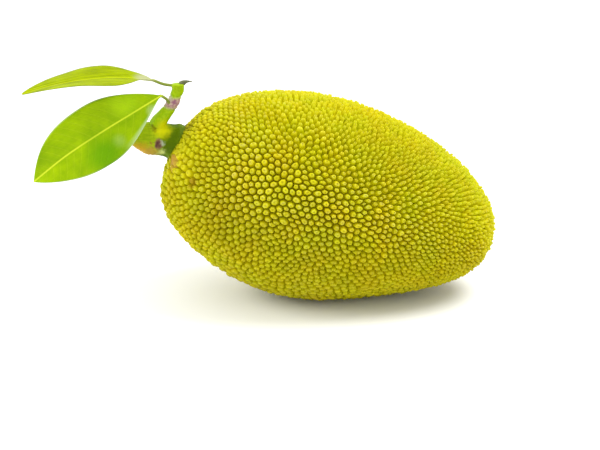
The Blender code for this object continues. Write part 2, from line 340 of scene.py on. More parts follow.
# Painted shade: a broad darker, browner patch on the near side towards the stalk end and a dark spot on the
# shoulder by the stalk, and a dark olive ring as painted shadow where the stalk's foot meets the skin.
# Between them lie a faint olive patch and a small orange-brown spot.
rind_colour = add_spots(tree, place, worn.outputs["Result"], (
    ((-0.1250, -0.0930, 0.1180), 0.004, 0.062, "#866a04", 0.24),
    ((-0.1360, -0.0740, 0.1830), 0.002, 0.036, "#6c6c00", 0.14),
    ((-0.1547, -0.0722, 0.1577), 0.003, 0.009, "#8a5412", 0.55),
    ((-0.1600, -0.0120, 0.2080), 0.004, 0.010, "#5e5608", 0.75),
    (tuple(STALK_FOOT), STALK_FOOT_RADIUS, STALK_FOOT_RADIUS + 0.004, "#585800", 0.55),
))
# A skin grain of 0.7 mm
grain = add_node(tree, "ShaderNodeTexNoise", {"Vector": place, "Scale": 1400.0, "Detail": 2.0})
dents = add_node(tree, "ShaderNodeBump", {
    "Height": grain.outputs["Fac"], "Strength": 0.25, "Distance": 0.0004})
feed(tree, shader, {
    "Base Color": rind_colour, "Normal": dents.outputs["Normal"], "Roughness": 0.52, "IOR": 1.45,
    "Specular IOR Level": 0.03})

# The warts are grown by a node tree on a net of triangles whose corners are the warts' centres.
warts = bpy.data.node_groups.new("warts", "GeometryNodeTree")
warts.interface.new_socket("Skin net", in_out="INPUT", socket_type="NodeSocketGeometry")
warts.interface.new_socket("Skin", in_out="OUTPUT", socket_type="NodeSocketGeometry")
WART_SIZES = {
    "Height": WART_HEIGHT,
    "Unevenness": 0.08,         # share by which one wart's height differs from the next
    "Shoulder width": 0.78,     # each width is a share of the one below it
    "Crown width": 0.76,
    "Top width": 0.48,
    "Spiky above": 0.65,        # how far into the lit side a wart's place is, from 0 to 1, for it to end in a point
    "Lit side slimming": 0.20,     # share by which the widths are less on the lit side
}
for name in WART_SIZES:
    warts.interface.new_socket(name, in_out="INPUT", socket_type="NodeSocketFloat")
warts.interface.new_socket("Seed", in_out="INPUT", socket_type="NodeSocketInt")
warts.interface.new_socket("Finish", in_out="INPUT", socket_type="NodeSocketMaterial")
given = add_node(warts, "NodeGroupInput").outputs
cells = add_node(warts, "GeometryNodeDualMesh", {"Mesh": given["Skin net"]})
one_tone = add_node(warts, "FunctionNodeRandomValue", {"Seed": given["Seed"]}, data_type="FLOAT")
toned_cells = add_node(warts, "GeometryNodeStoreNamedAttribute", {
    "Geometry": cells.outputs[0], "Name": "tone", "Value": one_tone.outputs["Value"]},
    data_type="FLOAT", domain="FACE")
more = add_node(warts, "ShaderNodeMath", {0: given["Seed"], 1: 1.0}, operation="ADD")
chance = add_node(warts, "FunctionNodeRandomValue", {2: -1.0, 3: 1.0, "Seed": more.outputs[0]})
uneven = add_node(warts, "ShaderNodeMath", {
    0: chance.outputs["Value"], 1: given["Unevenness"], 2: 1.0}, operation="MULTIPLY_ADD")
grown, lit_side_field, leaning, way = (
    add_node(warts, "GeometryNodeInputNamedAttribute", {"Name": name}, data_type=kind).outputs["Attribute"]
    for name, kind in (
        ("growth", "FLOAT"), ("lit_side", "FLOAT"), ("lean", "FLOAT_VECTOR"), ("way", "FLOAT_VECTOR")))
tall = add_node(warts, "ShaderNodeMath", {0: given["Height"], 1: grown}, operation="MULTIPLY")
rise = add_node(warts, "ShaderNodeMath", {0: tall.outputs[0], 1: uneven.outputs[0]}, operation="MULTIPLY")
upright = add_node(warts, "GeometryNodeInputNormal").outputs["Normal"]
outward = add_node(warts, "ShaderNodeVectorMath", {0: upright, 1: leaning}, operation="ADD")
growing = add_node(warts, "ShaderNodeVectorMath", {
    0: outward.outputs["Vector"], "Scale": rise.outputs[0]}, operation="SCALE")
with_way = add_node(warts, "GeometryNodeStoreNamedAttribute", {
    "Geometry": toned_cells.outputs[0], "Name": "way", "Value": growing.outputs["Vector"]},
    data_type="FLOAT_VECTOR", domain="FACE")
position = add_node(warts, "GeometryNodeInputPosition").outputs["Position"]
tip_place = add_node(warts, "ShaderNodeVectorMath", {
    0: position, 1: growing.outputs["Vector"]}, operation="ADD")
with_tip = add_node(warts, "GeometryNodeStoreNamedAttribute", {
    "Geometry": with_way.outputs[0], "Name": "tip", "Value": tip_place.outputs["Vector"]},
    data_type="FLOAT_VECTOR", domain="FACE")
skin = with_tip.outputs[0]
on_top = None
spiky = add_node(warts, "ShaderNodeMath", {0: lit_side_field, 1: given["Spiky above"]}, operation="GREATER_THAN")
blunt = add_node(warts, "ShaderNodeMath", {0: 1.0, 1: spiky.outputs[0]}, operation="SUBTRACT")
slimming = add_node(warts, "ShaderNodeMath", {0: lit_side_field, 1: given["Lit side slimming"]}, operation="MULTIPLY")
slimmer = add_node(warts, "ShaderNodeMath", {0: 1.0, 1: slimming.outputs[0]}, operation="SUBTRACT")
# Three stages make a blunt wart. A spiky one, of the lit side, ends in a point after two. Each stage has
# its share of the height, that share on a spiky wart, its width, and the level it reaches on a blunt one.
for share, share_if_spiky, width, level_reached in (
        (0.48, 0.48, "Shoulder width", 0.48),
        (0.38, 0.52, "Crown width", 0.86),
        (0.14, 0.00, "Top width", 1.00)):
    part = add_node(warts, "ShaderNodeMath", {
        0: spiky.outputs[0], 1: share_if_spiky - share, 2: share}, operation="MULTIPLY_ADD")
    step = add_node(warts, "ShaderNodeVectorMath", {0: way, "Scale": part.outputs[0]}, operation="SCALE")
    pulled = add_node(warts, "GeometryNodeExtrudeMesh", {
        "Mesh": skin, "Offset": step.outputs["Vector"], "Individual": True}, mode="FACES")
    if width == "Top width":
        blunt_tops = add_node(warts, "ShaderNodeMath", {0: on_top, 1: blunt.outputs[0]}, operation="MULTIPLY")
        warts.links.new(blunt_tops.outputs[0], pulled.inputs["Selection"])
    elif on_top is not None:
        warts.links.new(on_top, pulled.inputs["Selection"])
    on_top = pulled.outputs["Top"]
    kept_width = given[width]
    if width != "Top width":
        kept_width = add_node(warts, "ShaderNodeMath", {
            0: given[width], 1: slimmer.outputs[0]}, operation="MULTIPLY").outputs[0]
    narrowed = add_node(warts, "GeometryNodeScaleElements", {
        "Geometry": pulled.outputs["Mesh"], "Selection": on_top, "Scale": kept_width}, domain="FACE")
    marked = add_node(warts, "GeometryNodeStoreNamedAttribute", {
        "Geometry": narrowed.outputs[0], "Selection": on_top, "Name": "level", "Value": level_reached},
        data_type="FLOAT", domain="POINT")
    skin = marked.outputs[0]
# Nothing reaches under the floor. No point lies as far as a metre off sideways, so only heights are held.
held = add_node(warts, "ShaderNodeVectorMath", {0: position, 1: (-1.0, -1.0, 0.0)}, operation="MAXIMUM")
rested = add_node(warts, "GeometryNodeSetPosition", {"Geometry": skin, "Position": held.outputs["Vector"]})
smooth = add_node(warts, "GeometryNodeSetShadeSmooth", {"Geometry": rested.outputs[0]})
real = add_node(warts, "GeometryNodeRealizeInstances", {"Geometry": smooth.outputs[0]})
finished = add_node(warts, "GeometryNodeSetMaterial", {
    "Geometry": real.outputs[0], "Material": given["Finish"]})
add_node(warts, "NodeGroupOutput", {0: finished.outputs[0]})


def grow(piece, tree, sizes):
    """Gives the piece a node tree with these inputs, then turns the result into its plain mesh."""
    modifier = piece.modifiers.new(tree.name, "NODES")
    modifier.node_group = tree
    for socket in tree.interface.items_tree:
        if socket.in_out == "INPUT" and socket.name in sizes:
            modifier[socket.identifier] = sizes[socket.name]
    seen = bpy.context.evaluated_depsgraph_get()
    mesh = bpy.data.meshes.new_from_object(piece.evaluated_get(seen), depsgraph=seen)
    piece.modifiers.clear()
    piece.data = mesh
    return mesh


skin_mesh = grow(fruit, warts, {**WART_SIZES, "Seed": WART_SEED, "Finish": rind})


EIGHTH_TURN = math.pi / 4
CHART_SPILL = 1.09          # a wart on a chart's edge may lie this far past it, as a share of its half width
# One chart for each axis faced, and its twin beside it: the two axes across, half its width and height on
# the map, its middle there, and how far right its twin lies
CHARTS = (
    (1, 2, 0.14, 0.14, 0.16, 0.80, 0.32),
    (0, 2, 0.235, 0.145, 0.25, 0.16, 0.49),
    (0, 1, 0.235, 0.145, 0.25, 0.47, 0.49))


def read(items, field, columns, kind=np.float32):
    """One field of all the corners, points or faces of a mesh, as an array with a row for each."""
    values = np.empty(len(items) * columns, kind)
    items.foreach_get(field, values)
    return values.reshape(-1, columns)


def lay_out_skin(mesh):
    """A map of the rind in six charts, as on the sides of a box. No chart's edge runs through a wart."""
    corners = read(mesh.loops, "vertex_index", 1, np.int32)[:, 0]
    counts = read(mesh.polygons, "loop_total", 1, np.int32)[:, 0]
    ways = along_fruit(read(mesh.vertices, "co", 3)[corners] - CENTRE)
    homes = along_fruit(np.repeat(read(mesh.attributes["tip"].data, "vector", 3), counts, axis=0) - CENTRE)
    facing = np.abs(homes).argmax(axis=1)
    rows = np.arange(len(ways))
    charts = facing * 2 + (homes[rows, facing] > 0)
    map_places = np.zeros((len(ways), 2))
    for axis, (first, second, half_width, half_height, right, up, to_twin) in enumerate(CHARTS):
        for sign in (0, 1):
            chosen = charts == axis * 2 + sign
            depth = np.abs(ways[chosen, axis])
            first_turn = np.arctan2(ways[chosen, first], depth) / EIGHTH_TURN / CHART_SPILL
            second_turn = np.arctan2(ways[chosen, second], depth) / EIGHTH_TURN / CHART_SPILL
            map_places[chosen, 0] = right + to_twin * sign + half_width * first_turn
            map_places[chosen, 1] = up + half_height * second_turn
    layer = mesh.uv_layers.new(name="OFBake")
    layer.uv.foreach_set("vector", map_places.astype(np.float32).ravel())


lay_out_skin(skin_mesh)
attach(fruit, "root")
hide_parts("fruit")


# ---------------------------------------------------------------------------------------- Stalk
# The stub of the fruit stalk, a thick green peduncle that was cut from the tree. It grows out of the stem
# hollow with a flared foot, and carries creases, a round scar of an old branch and a rough broken end.

STALK_ROUTE = (
    (-0.1683, 0.0, 0.1808, 0.0215),
    (-0.1748, 0.0, 0.1836, 0.0205),
    (-0.1818, 0.0, 0.1858, 0.0186),
    (-0.1908, 0.0, 0.1874, 0.0178),
    (-0.2007, 0.0, 0.1894, 0.0172),
    (-0.2118, 0.0, 0.1919, 0.0152),
    (-0.2223, 0.0, 0.1958, 0.0118),
    (-0.2283, 0.0, 0.1984, 0.0088),
)
STALK_SIDES, STALK_STEPS = 72, 84
SKIN_AT = -0.1683           # where the stalk leaves the fruit's skin, along the frame's first axis
BRANCH_SCAR = np.array((-0.1906, -0.0165, 0.1862))
BRANCH_SCAR_RADIUS = 0.0060
CREASES = ((-0.1965, 0.0006), (-0.2015, 0.0005), (-0.2105, 0.0004))     # each one's place and depth
CREASE_HALF_WIDTH = 0.0007
BROKEN_FROM = 0.052         # the break's rough surface starts and is full this far along from the skin
BROKEN_TO = 0.060
BELLY_AT = -0.2040          # a fuller stretch of the stalk's lower side
BELLY_HALF_LENGTH = 0.013
BELLY_DEPTH = 0.0030


def smooth_route(points, steps):
    """A smooth curve through the points, read at evenly spaced parameters. A point may hold a radius too."""
    points = [np.array(point, float) for point in points]
    spans = len(points) - 1
    ends = [2 * points[0] - points[1], *points, 2 * points[-1] - points[-2]]
    route = []
    for step in range(steps + 1):
        span = min(int(step / steps * spans), spans - 1)
        t = step / steps * spans - span
        before, start, end, after = ends[span:span + 4]
        bend = 2 * before - 5 * start + 4 * end - after
        twist = 3 * start - before - 3 * end + after
        route.append((2 * start + (end - before) * t + bend * t * t + twist * t * t * t) / 2)
    return np.array(route)


def stem_rings(route, sides, steps):
    """Rings of points round a stem, and the way out at each point: two arrays of steps by sides by three."""
    line = smooth_route(route, steps)
    ahead = unit(np.gradient(line[:, :3], axis=0))
    up_way = unit(np.cross(ahead, (0.0, 1.0, 0.0)))
    level_way = np.cross(up_way, ahead)
    turns = np.linspace(0, 2 * math.pi, sides, endpoint=False)[None, :, None]
    out = np.cos(turns) * up_way[:, None, :] + np.sin(turns) * level_way[:, None, :]
    return line[:, None, :3] + out * line[:, 3][:, None, None], out


def lumps(points, size):
    """Smooth chance values, from about -1 to 1, over points, with lumps of this size in metres."""
    flat = points.reshape(-1, 3) / size
    return np.array([noise.noise(Vector(point)) for point in flat]).reshape(points.shape[:-1])


CAP_TURNS = (0.5, 0.9, 1.25, 1.45)      # where the rings that close an end lie on its dome, in radians
CAP_RINGS = len(CAP_TURNS)


def closed_piece(name, rings, finish, domed=0.0):
    """A closed piece through the rings. Each end is closed by smaller rings, domed out by this length."""
    rings = list(rings)
    for end, inner in ((0, 1), (-1, -2)):
        middle = rings[end].mean(axis=0)
        way = middle - rings[inner].mean(axis=0)
        way = way / max(np.linalg.norm(way), 1e-9) * domed
        caps = [middle + (rings[end] - middle) * math.cos(turn) + way * math.sin(turn)
                for turn in CAP_TURNS]
        rings = caps[::-1] + rings if end == 0 else rings + caps
    count, sides = len(rings), len(rings[0])
    places = [tuple(point) for ring in rings for point in ring]
    faces = [
        (ring * sides + side, ring * sides + (side + 1) % sides,
         (ring + 1) * sides + (side + 1) % sides, (ring + 1) * sides + side)
        for ring in range(count - 1) for side in range(sides)]
    faces.append(tuple(range(sides))[::-1])
    faces.append(tuple(range((count - 1) * sides, count * sides)))
    mesh = bpy.data.meshes.new(name)
    mesh.from_pydata(places, [], faces)
    shape = bmesh.new()
    shape.from_mesh(mesh)
    bmesh.ops.recalc_face_normals(shape, faces=shape.faces)
    if shape.calc_volume(signed=True) < 0:
        bmesh.ops.reverse_faces(shape, faces=shape.faces)
    shape.to_mesh(mesh)
    shape.free()
    mesh.shade_smooth()
    mesh.materials.append(finish)
    piece = bpy.data.objects.new(name, mesh)
    bpy.context.scene.collection.objects.link(piece)
    return piece


# Green stalk bark: firm, half-glossy plant skin over fibre. Dark green by the fruit, yellow-green above,
# rusty and corky towards the broken end, with fine lengthwise streaks.
bark, tree, shader, place = new_finish("green_stalk_bark")
# Streaks 17 mm long and 2.4 mm wide, and colours whose borders wander by a few millimetres
stretched = add_node(tree, "ShaderNodeMapping", {"Vector": place, "Scale": (60.0, 420.0, 420.0)})
streaks = add_node(tree, "ShaderNodeTexNoise", {
    "Vector": stretched.outputs["Vector"], "Scale": 1.0, "Detail": 4.0, "Roughness": 0.6})
streaked = add_node(tree, "ShaderNodeValToRGB", {"Fac": streaks.outputs["Fac"]}, stops=(
    (0.3, "#7c9806"), (0.7, "#a4b616")))
wobble = add_node(tree, "ShaderNodeTexNoise", {"Vector": place, "Scale": 160.0, "Detail": 3.0})
shift = add_node(tree, "ShaderNodeVectorMath", {
    0: wobble.outputs["Color"], 1: (0.5, 0.5, 0.5)}, operation="SUBTRACT")
wander = add_node(tree, "ShaderNodeVectorMath", {
    0: shift.outputs["Vector"], "Scale": 0.010}, operation="SCALE")
wandered = add_node(tree, "ShaderNodeVectorMath", {0: place, 1: wander.outputs["Vector"]}, operation="ADD")
bark_colour = add_spots(tree, wandered.outputs["Vector"], streaked.outputs["Color"], (
    ((-0.1700, 0.000, 0.1800), 0.0225, 0.032, "#4a6200", 0.95),
    ((-0.1870, -0.012, 0.2005), 0.001, 0.0145, "#c8c404", 0.85),
    ((-0.2130, -0.008, 0.1720), 0.010, 0.022, "#b98e1c", 0.92),
    ((-0.1990, -0.012, 0.1760), 0.003, 0.013, "#a98a3c", 0.70),
    ((-0.2300, 0.000, 0.1990), 0.006, 0.012, "#8a6c3a", 0.90),
    ((-0.1780, -0.012, 0.1720), 0.001, 0.0080, "#84a010", 0.65),
    # Painted highlights: a pale cream spot below the scar and a grey-white one beside it
    ((-0.1882, -0.014, 0.1765), 0.001, 0.0075, "#c9d47c", 0.90),
    ((-0.1868, -0.017, 0.1866), 0.001, 0.0045, "#b0b8a0", 0.85),
    ((-0.1915, -0.017, 0.1880), 0.0020, 0.0055, "#86604a", 0.85),
    ((-0.1915, -0.017, 0.1840), 0.0020, 0.0055, "#86604a", 0.85),
    ((-0.1915, -0.017, 0.1860), 0.0010, 0.0042, "#54303c", 0.80),
    # Three dark marks along the crease at the shoot's foot, partly a dark crease and partly painted shade
    # where shoot and stalk meet
    ((-0.1942, -0.0132, 0.1998), 0.0008, 0.0030, "#6e6208", 0.75),
    ((-0.1962, -0.0112, 0.2022), 0.0008, 0.0032, "#6e6208", 0.75),
    ((-0.1980, -0.0090, 0.2045), 0.0008, 0.0034, "#6e6208", 0.75),
    ((-0.1990, -0.016, 0.1820), 0.0008, 0.0030, "#9a5a30", 0.60),
    ((-0.1990, -0.016, 0.1870), 0.0008, 0.0030, "#9a5a30", 0.60),
))
ridged = add_node(tree, "ShaderNodeBump", {
    "Height": streaks.outputs["Fac"], "Strength": 0.5, "Distance": 0.0005})
feed(tree, shader, {
    "Base Color": bark_colour, "Normal": ridged.outputs["Normal"], "Roughness": 0.42,
    "Specular IOR Level": 0.04})

rings, out = stem_rings(STALK_ROUTE, STALK_SIDES, STALK_STEPS)
to_scar = np.linalg.norm(rings - BRANCH_SCAR, axis=2) / BRANCH_SCAR_RADIUS
from_skin = SKIN_AT - rings[:, :, 0]
# Lumps, a lip along the skin, and the scar's hollow with its rim
swell = 0.0007 * lumps(rings, 0.009) + 0.0003 * lumps(rings, 0.0028)
swell += 0.0010 * np.exp(-(from_skin / 0.0030) ** 2)
swell += -0.0026 * np.exp(-(to_scar / 0.62) ** 2) + 0.0011 * np.exp(-((to_scar - 1.0) / 0.30) ** 2)
for crease, depth in CREASES:
    bent = crease + 0.0012 * lumps(rings, 0.012)
    swell -= depth * np.exp(-((rings[:, :, 0] - bent) / CREASE_HALF_WIDTH) ** 2)
swell += smooth_step(BROKEN_FROM, BROKEN_TO, from_skin) * 0.0012 * lumps(rings, 0.0035)
belly = np.exp(-((rings[:, :, 0] - BELLY_AT) / BELLY_HALF_LENGTH) ** 2) * np.clip(-out[:, :, 2], 0, 1)
swell += BELLY_DEPTH * belly
stalk = closed_piece("stalk_stub", rings + out * swell[:, :, None], bark, domed=0.0022)
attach(stalk, "root")
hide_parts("stalk")


# ---------------------------------------------------------------------------------------- Shoot
# A short leafy shoot that grows out of the top of the stalk. A node with a pinkish cork ring shows where
# the sheath of a fallen leaf went round it.

SHOOT_ROUTE = (
    (-0.1958, 0.0, 0.1926, 0.0118),
    (-0.1918, -0.001, 0.2051, 0.0096),
    (-0.1870, -0.002, 0.2129, 0.0080),
    (-0.1809, -0.003, 0.2205, 0.0069),
    (-0.1752, -0.004, 0.2293, 0.0067),
    (-0.1716, -0.005, 0.2375, 0.0064),
    (-0.1688, -0.005, 0.2448, 0.0067),
    (-0.1688, -0.005, 0.2508, 0.0076),
)
NODE_AT = 0.60              # these are shares of the shoot's length, from the stalk
NODE_HALF_LENGTH = 0.115
NODE_TILT = 0.035           # how much higher than its middle the ring runs on one side
SHOOT_SIDES, SHOOT_STEPS = 48, 96

# Young shoot bark: soft green skin with a light sheen, yellow where it is new at the foot, and a pale
# pinkish cork ring with small white breathing pores at the node.
young_bark, tree, shader, place = new_finish("young_shoot_bark")
ring_share = add_node(tree, "ShaderNodeAttribute", attribute_name="node_ring").outputs["Fac"]
# A mottle of 2.4 mm, which the pores and the ring's two tints follow
fine = add_node(tree, "ShaderNodeTexNoise", {"Vector": place, "Scale": 420.0, "Detail": 3.0})
green = add_node(tree, "ShaderNodeValToRGB", {"Fac": fine.outputs["Fac"]}, stops=(
    (0.35, "#90b404"), (0.68, "#a8c414")))
ring_tint = add_node(tree, "ShaderNodeValToRGB", {"Fac": fine.outputs["Fac"]}, stops=(
    (0.40, "#a47a80"), (0.72, "#d2c0a2")))
ringed = add_node(tree, "ShaderNodeMix", {
    "Factor": ring_share, "A": green.outputs["Color"], "B": ring_tint.outputs["Color"]}, data_type="RGBA")
shoot_colour = add_spots(tree, place, ringed.outputs["Result"], (
    ((-0.1845, -0.010, 0.2010), 0.004, 0.015, "#c8c404", 0.85),
    # Two dark marks at the shoot's foot, partly a dark crease and partly painted shade where shoot and stalk
    # meet
    ((-0.1980, -0.0085, 0.2045), 0.0008, 0.0034, "#6e6208", 0.75),
    ((-0.1962, -0.0105, 0.2022), 0.0008, 0.0032, "#6e6208", 0.75),
    ((-0.1795, -0.008, 0.2360), 0.002, 0.0065, "#d8d2b4", 0.75),
    ((-0.1726, -0.011, 0.2321), 0.001, 0.0042, "#80406a", 0.70),
    ((-0.1688, -0.010, 0.2500), 0.003, 0.0140, "#88a000", 0.60),
))
pores = add_node(tree, "ShaderNodeBump", {
    "Height": fine.outputs["Fac"], "Strength": 0.35, "Distance": 0.0004})
feed(tree, shader, {
    "Base Color": shoot_colour, "Normal": pores.outputs["Normal"], "Roughness": 0.40,
    "Specular IOR Level": 0.07})

rings, out = stem_rings(SHOOT_ROUTE, SHOOT_SIDES, SHOOT_STEPS)
along = np.linspace(0, 1, SHOOT_STEPS + 1)[:, None]
tilt = NODE_TILT * np.cos(np.linspace(0, 2 * math.pi, SHOOT_SIDES, endpoint=False))[None, :]
to_node = np.abs(along + tilt - NODE_AT) / NODE_HALF_LENGTH
on_node = np.exp(-to_node ** 4)
# The node swells between two grooves, with fine rings round it, and is the rougher part
swell = 0.0002 * on_node - 0.0007 * np.exp(-((to_node - 1.05) / 0.16) ** 2)
swell += 0.0003 * on_node * np.sin(to_node * 9.0)
swell += 0.0004 * lumps(rings, 0.006) + 0.00025 * on_node * lumps(rings, 0.0018)
shoot = closed_piece("leafy_shoot", rings + out * swell[:, :, None], young_bark, domed=0.0012)
no_ring = np.zeros((CAP_RINGS, SHOOT_SIDES))
store(shoot.data, "node_ring", np.concatenate((no_ring, np.exp(-(to_node / 0.92) ** 6), no_ring)))
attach(shoot, "root")
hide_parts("shoot")


# ---------------------------------------------------------------------------------------- Terminal bud
# The pointed bud at the shoot's end: two grey-green sheath scales rolled tight round the next leaf.

BUD_SIDES, BUD_STEPS = 28, 36
SEAM_FROM = 4.4             # the seam between the scales starts at this turn round the bud, in radians,
SEAM_WINDING = 1.2          # and has gone this much further round at the tip
SEAM_HALF_WIDTH = 0.22
SEAM_DEPTH = 0.0005
BUD_ROUTE = (
    (-0.1655, -0.005, 0.2508, 0.0034),
    (-0.1622, -0.005, 0.2527, 0.0029),
    (-0.1594, -0.005, 0.2538, 0.0018),
    (-0.1562, -0.005, 0.2541, 0.0010),
    (-0.1527, -0.005, 0.2540, 0.0004),
)

# Dry sheath scale: matt, downy and grey-green, browner at the tip.
scale_skin, tree, shader, place = new_finish("bud_scale")
# Down in tufts of 1.4 mm
down = add_node(tree, "ShaderNodeTexNoise", {"Vector": place, "Scale": 700.0, "Detail": 3.0})
downy = add_node(tree, "ShaderNodeValToRGB", {"Fac": down.outputs["Fac"]}, stops=(
    (0.35, "#3c4220"), (0.70, "#686c42")))
bud_colour = add_spots(tree, place, downy.outputs["Color"], (
    ((-0.1668, -0.005, 0.2500), 0.001, 0.004, "#8fa024", 0.8),
    ((-0.1503, -0.005, 0.2552), 0.001, 0.006, "#7d7a5a", 0.8),
))
feed(tree, shader, {"Base Color": bud_colour, "Roughness": 0.65})

rings, out = stem_rings(BUD_ROUTE, BUD_SIDES, BUD_STEPS)
turns = np.linspace(0, 2 * math.pi, BUD_SIDES, endpoint=False)[None, :]
along = np.linspace(0, 1, BUD_STEPS + 1)[:, None]
seam = np.exp(-((turns - SEAM_FROM - SEAM_WINDING * along) / SEAM_HALF_WIDTH) ** 2)
swell = (0.0002 * lumps(rings, 0.003) - SEAM_DEPTH * seam) * (1 - along)
bud = closed_piece("bud_scales", rings + out * swell[:, :, None], scale_skin, domed=0.0003)
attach(bud, "root")
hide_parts("terminal_bud")


# ---------------------------------------------------------------------------------------- Leaves
# Two leathery leaves with short stalks. Each is one blade on a midrib, folded a little along it, with
# side veins that leave the midrib at even steps, by turns on each side, and bend forward at the margin.

PETIOLE_RADIUS = 0.0016
MIDRIB_BASE_RADIUS = 0.0015
MIDRIB_TIP_RADIUS = 0.0003
LEAF_HALF_THICKNESS = 0.00028
LEAF_WIDEST_AT = 0.54
LEAF_COLUMNS = 32
PETIOLE_STATIONS = 14
BLADE_STATIONS = 72
VEIN_SPACING = 0.0098
VEIN_STAGGER = 0.4          # how far one side's veins start ahead of the other's, as a share of the spacing
UNDERSIDE_PALENESS = 0.32


def blade_width(share, base_slimness):
    """The width at a share of the blade's length, as a share of its widest: a long oval, shortly pointed."""
    rise = np.clip(share / LEAF_WIDEST_AT, 0, 1)
    fall = np.clip((share - LEAF_WIDEST_AT) / (1 - LEAF_WIDEST_AT), 0, 1)
    before = np.sin(math.pi / 2 * rise) ** base_slimness
    after = np.cos(math.pi / 2 * fall ** 1.25).clip(0, 1) ** 0.9
    return np.where(share <= LEAF_WIDEST_AT, before, after)


def leaf_blade(name, petiole, midrib, across, widest, base_slimness, cup, ripple, finish):
    """One closed leaf with its stalk. Each side of its base has its own slimness: over 1 is a long wedge.

    Its margins are lifted by a cup, as a slope, and by a ripple: how many waves, and how high. It stores how
    far each point is from the midrib and from the blade's base.
    """
    route = np.concatenate((
        smooth_route(petiole, PETIOLE_STATIONS), smooth_route(midrib, BLADE_STATIONS)[1:]))
    ahead = unit(np.gradient(route, axis=0))
    across = np.array(across, float)
    level = unit(across - (ahead @ across)[:, None] * ahead)
    up_way = np.cross(ahead, level)
    share = np.clip((np.arange(len(route)) - PETIOLE_STATIONS) / BLADE_STATIONS, 0, 1)
    rib = MIDRIB_BASE_RADIUS + (MIDRIB_TIP_RADIUS - MIDRIB_BASE_RADIUS) * share
    rib[:PETIOLE_STATIONS] = PETIOLE_RADIUS
    # Columns of points stand closer by the midrib, where the blade folds
    column = np.linspace(-1, 1, LEAF_COLUMNS + 1)
    out_share = np.sign(column) * np.abs(column) ** 1.6
    first_side, other_side = (
        np.maximum(np.where(share > 0, widest * blade_width(share, slimness), 0.0), rib)[:, None]
        for slimness in base_slimness)
    spread = np.where(out_share < 0, first_side, other_side) * out_share
    on_blade = smooth_step(0.0, 0.08, share)[:, None]
    edge = np.abs(out_share) ** 2.4
    waves = np.sin(2 * math.pi * (ripple[0] * share[:, None] + np.where(out_share > 0, 0.0, 0.37)))
    lift = cup * np.abs(spread) - on_blade * 0.10 * np.abs(spread) ** 2 / widest
    lift = lift + on_blade * ripple[1] * edge * waves
    # The midrib stands out below and is flatter above
    rib_half = rib[:, None] * np.sqrt(np.clip(1 - (spread / rib[:, None]) ** 2, 0, 1))
    over = np.maximum(rib_half * (1 - 0.55 * on_blade), LEAF_HALF_THICKNESS)
    under = np.maximum(rib_half, LEAF_HALF_THICKNESS)
    flat = route[:, None, :] + level[:, None, :] * spread[:, :, None]
    top = flat + up_way[:, None, :] * (lift + over)[:, :, None]
    bottom = flat + up_way[:, None, :] * (lift - under)[:, :, None]
    rings = np.concatenate((top, bottom[:, ::-1]), axis=1)
    piece = closed_piece(name, rings, finish, domed=0.0003)
    run = np.concatenate(((0,), np.cumsum(np.linalg.norm(np.diff(route, axis=0), axis=1))))
    run = (run - run[PETIOLE_STATIONS])[:, None] + 0 * spread
    measures = np.stack((spread, run, np.abs(out_share) + 0 * spread), axis=2)
    measures = np.concatenate((measures, measures[:, ::-1]), axis=1)
    measures = np.concatenate((
        measures[:1].repeat(CAP_RINGS, axis=0), measures, measures[-1:].repeat(CAP_RINGS, axis=0)))
    store(piece.data, "blade", measures, "FLOAT_VECTOR")
    below = np.zeros(measures.shape[:2])
    below[:, LEAF_COLUMNS + 1:] = 1.0
    store(piece.data, "underside", below)
    return piece


